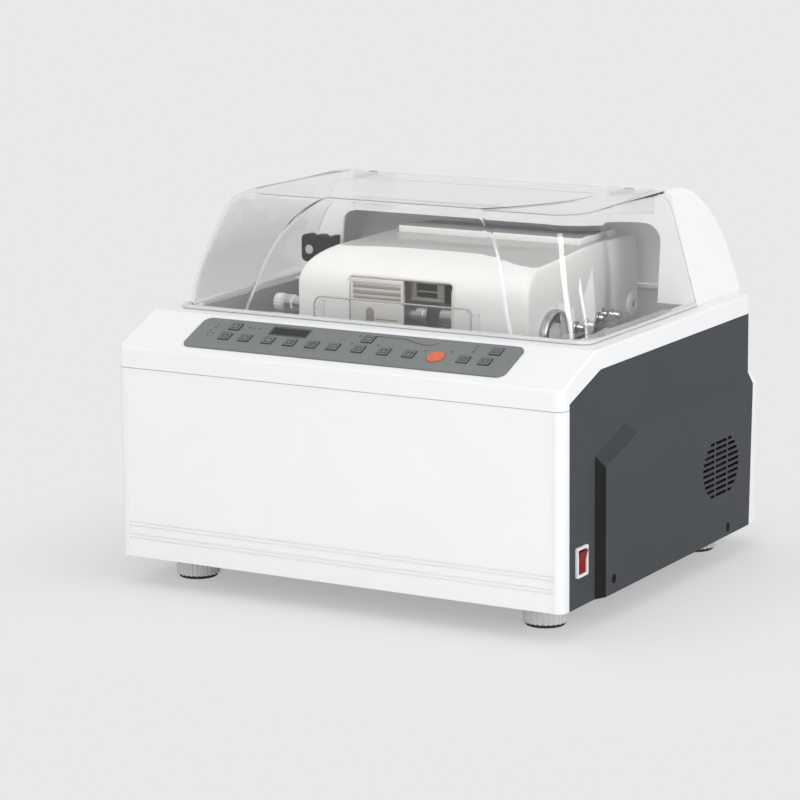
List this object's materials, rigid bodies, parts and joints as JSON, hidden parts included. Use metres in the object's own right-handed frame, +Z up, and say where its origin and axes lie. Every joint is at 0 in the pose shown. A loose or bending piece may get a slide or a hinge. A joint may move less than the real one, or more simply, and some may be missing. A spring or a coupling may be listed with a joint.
{
  "type": "optical lens edger",
  "caption": "Bench lens edger: white case with a sloped key panel, a clear hinged hood over a wet chamber, and a lifting head that turns the lens on grinding wheels.",
  "frame": {"origin": "centre of the overall outline at the plane the feet stand on", "axes": "+X to the operator's right, +Y to the back, +Z up"},
  "size_m": [0.53, 0.48, 0.4],
  "materials": {
    "case_white": "satin moulded plastic",
    "panel_grey": "fine textured paint",
    "tray_metal": "grey powder coat",
    "keypad_plate": "satin film",
    "key_dark": "soft satin",
    "key_orange": "lit translucent cap",
    "display_dark": "smoked window",
    "lamp_lens": "small clear domes",
    "board_green": "solder mask",
    "hood_clear": "polished clear sheet",
    "seal_clear": "pale silicone",
    "foot_white": "moulded, fluted",
    "rubber_black": "matt",
    "head_cream": "satin moulded plastic",
    "basin_grey": "grey moulded basin",
    "steel": "ground",
    "chrome": "polished",
    "cast_alloy": "cast and milled",
    "motor_grey": "painted cast housing",
    "wheel_rough": "coarse diamond grit in a metal bond",
    "wheel_fine": "fine diamond grit in a metal bond",
    "switch_white": "moulded",
    "switch_red": "lit translucent rocker",
    "black_plastic": "moulded",
    "screw_black": "black oxide"
  },
  "bodies": {
    "root": {"base_tray": "tray_metal", "feet": "foot_white", "foot_pads": "rubber_black", "front_cover": "case_white", "rear_cover": "case_white", "side_panel_left": "panel_grey", "side_panel_right": "panel_grey", "panel_screws": "screw_black", "top_cover": "case_white", "control_panel": "keypad_plate", "display_window": "display_dark", "indicator_lamps": "lamp_lens", "control_board": "board_green", "rear_housing": "case_white", "hinge_pins": "steel", "chamber_tray": "basin_grey", "bed_frame": "cast_alloy", "spindle_bearings": "steel", "guide_rods": "steel", "wheel_motor": "motor_grey", "drive_belt": "rubber_black", "water_valve_body": "black_plastic", "switch_frame": "switch_white", "inlet_socket": "black_plastic", "fan_frame": "black_plastic"},
    "hood": {"clear_cover": "hood_clear", "cover_seal": "seal_clear", "cover_hinges": "steel"},
    "cross_slide": {"slide_carriage": "cast_alloy", "pivot_shaft": "steel"},
    "head": {"head_cover": "head_cream", "head_frame": "cast_alloy", "splash_guard": "hood_clear", "side_fittings": "chrome"},
    "lens_shaft_l": {"lens_shaft_left": "steel"},
    "clamp": {"clamp_sleeve": "steel"},
    "lens_shaft_r": {"lens_shaft_right": "steel"},
    "spindle": {"wheel_spindle": "steel", "rough_wheel": "wheel_rough", "bevel_wheel": "wheel_fine", "polish_wheel": "wheel_fine"},
    "motor_rotor": {"motor_pulley": "steel"},
    "valve": {"water_valve_knob": "chrome"},
    "rocker": {"power_rocker": "switch_red"},
    "fan": {"fan_rotor": "black_plastic"},
    "key_01_cap": {"key_01": "key_dark"},
    "key_02_cap": {"key_02": "key_dark"},
    "key_03_cap": {"key_03": "key_dark"},
    "key_04_cap": {"key_04": "key_dark"},
    "key_05_cap": {"key_05": "key_dark"},
    "key_06_cap": {"key_06": "key_dark"},
    "key_07_cap": {"key_07": "key_dark"},
    "key_08_cap": {"key_08": "key_dark"},
    "key_09_cap": {"key_09": "key_dark"},
    "key_10_cap": {"key_10": "key_dark"},
    "key_11_cap": {"key_11": "key_dark"},
    "key_12_cap": {"key_12": "key_dark"},
    "key_13_cap": {"key_13": "key_dark"},
    "key_14_cap": {"key_14": "key_dark"},
    "start_key_cap": {"start_key": "key_orange"}
  },
  "joints": [
    {"name": "hood_hinge", "type": "hinge", "parent": "root", "child": "hood", "pos_m": [0, 0.114, 0.3955], "axis": [-1, 0, 0], "range_deg": [0, 65]},
    {"name": "head_slide", "type": "slide", "parent": "root", "child": "cross_slide", "axis": [1, 0, 0], "range_m": [-0.02, 0.02]},
    {"name": "head_lift", "type": "hinge", "parent": "cross_slide", "child": "head", "pos_m": [0, 0.158, 0.266], "axis": [-1, 0, 0], "range_deg": [0, 10]},
    {"name": "lens_turn_left", "type": "hinge", "parent": "head", "child": "lens_shaft_l", "pos_m": [0, -0.06, 0.278], "axis": [1, 0, 0], "continuous": true},
    {"name": "clamp_slide", "type": "slide", "parent": "head", "child": "clamp", "axis": [-1, 0, 0], "range_m": [0, 0.013]},
    {"name": "lens_turn_right", "type": "hinge", "parent": "clamp", "child": "lens_shaft_r", "pos_m": [0, -0.06, 0.278], "axis": [1, 0, 0], "continuous": true},
    {"name": "wheel_turn", "type": "hinge", "parent": "root", "child": "spindle", "pos_m": [0, -0.06, 0.19], "axis": [1, 0, 0], "continuous": true},
    {"name": "motor_turn", "type": "hinge", "parent": "root", "child": "motor_rotor", "pos_m": [0, 0.08, 0.118], "axis": [1, 0, 0], "continuous": true},
    {"name": "valve_turn", "type": "hinge", "parent": "root", "child": "valve", "pos_m": [-0.186, 0, 0.321], "axis": [0, -1, 0], "range_deg": [0, 90]},
    {"name": "rocker_tilt", "type": "hinge", "parent": "root", "child": "rocker", "pos_m": [0.258, -0.201, 0.0758], "axis": [0, -1, 0], "range_deg": [0, 16]},
    {"name": "fan_turn", "type": "hinge", "parent": "root", "child": "fan", "pos_m": [0.24, 0.114, 0.108], "axis": [1, 0, 0], "continuous": true},
    {"name": "key_01_press", "type": "slide", "parent": "root", "child": "key_01_cap", "axis": [0, 0.3771, -0.9262], "range_m": [0, 0.001], "stiffness_N_per_m": 400, "springref_m": -0.0008},
    {"name": "key_02_press", "type": "slide", "parent": "root", "child": "key_02_cap", "axis": [0, 0.3771, -0.9262], "range_m": [0, 0.001], "stiffness_N_per_m": 400, "springref_m": -0.0008},
    {"name": "key_03_press", "type": "slide", "parent": "root", "child": "key_03_cap", "axis": [0, 0.3771, -0.9262], "range_m": [0, 0.001], "stiffness_N_per_m": 400, "springref_m": -0.0008},
    {"name": "key_04_press", "type": "slide", "parent": "root", "child": "key_04_cap", "axis": [0, 0.3771, -0.9262], "range_m": [0, 0.001], "stiffness_N_per_m": 400, "springref_m": -0.0008},
    {"name": "key_05_press", "type": "slide", "parent": "root", "child": "key_05_cap", "axis": [0, 0.3771, -0.9262], "range_m": [0, 0.001], "stiffness_N_per_m": 400, "springref_m": -0.0008},
    {"name": "key_06_press", "type": "slide", "parent": "root", "child": "key_06_cap", "axis": [0, 0.3771, -0.9262], "range_m": [0, 0.001], "stiffness_N_per_m": 400, "springref_m": -0.0008},
    {"name": "key_07_press", "type": "slide", "parent": "root", "child": "key_07_cap", "axis": [0, 0.3771, -0.9262], "range_m": [0, 0.001], "stiffness_N_per_m": 400, "springref_m": -0.0008},
    {"name": "key_08_press", "type": "slide", "parent": "root", "child": "key_08_cap", "axis": [0, 0.3771, -0.9262], "range_m": [0, 0.001], "stiffness_N_per_m": 400, "springref_m": -0.0008},
    {"name": "key_09_press", "type": "slide", "parent": "root", "child": "key_09_cap", "axis": [0, 0.3771, -0.9262], "range_m": [0, 0.001], "stiffness_N_per_m": 400, "springref_m": -0.0008},
    {"name": "key_10_press", "type": "slide", "parent": "root", "child": "key_10_cap", "axis": [0, 0.3771, -0.9262], "range_m": [0, 0.001], "stiffness_N_per_m": 400, "springref_m": -0.0008},
    {"name": "key_11_press", "type": "slide", "parent": "root", "child": "key_11_cap", "axis": [0, 0.3771, -0.9262], "range_m": [0, 0.001], "stiffness_N_per_m": 400, "springref_m": -0.0008},
    {"name": "key_12_press", "type": "slide", "parent": "root", "child": "key_12_cap", "axis": [0, 0.3771, -0.9262], "range_m": [0, 0.001], "stiffness_N_per_m": 400, "springref_m": -0.0008},
    {"name": "key_13_press", "type": "slide", "parent": "root", "child": "key_13_cap", "axis": [0, 0.3771, -0.9262], "range_m": [0, 0.001], "stiffness_N_per_m": 400, "springref_m": -0.0008},
    {"name": "key_14_press", "type": "slide", "parent": "root", "child": "key_14_cap", "axis": [0, 0.3771, -0.9262], "range_m": [0, 0.001], "stiffness_N_per_m": 400, "springref_m": -0.0008},
    {"name": "start_key_press", "type": "slide", "parent": "root", "child": "start_key_cap", "axis": [0, 0.3771, -0.9262], "range_m": [0, 0.001], "stiffness_N_per_m": 400, "springref_m": -0.0008}
  ],
  "couplings": [
    {"joint": "motor_turn", "follows": "wheel_turn", "ratio": 0.73333},
    {"joint": "lens_turn_right", "follows": "lens_turn_left", "ratio": 1}
  ]
}
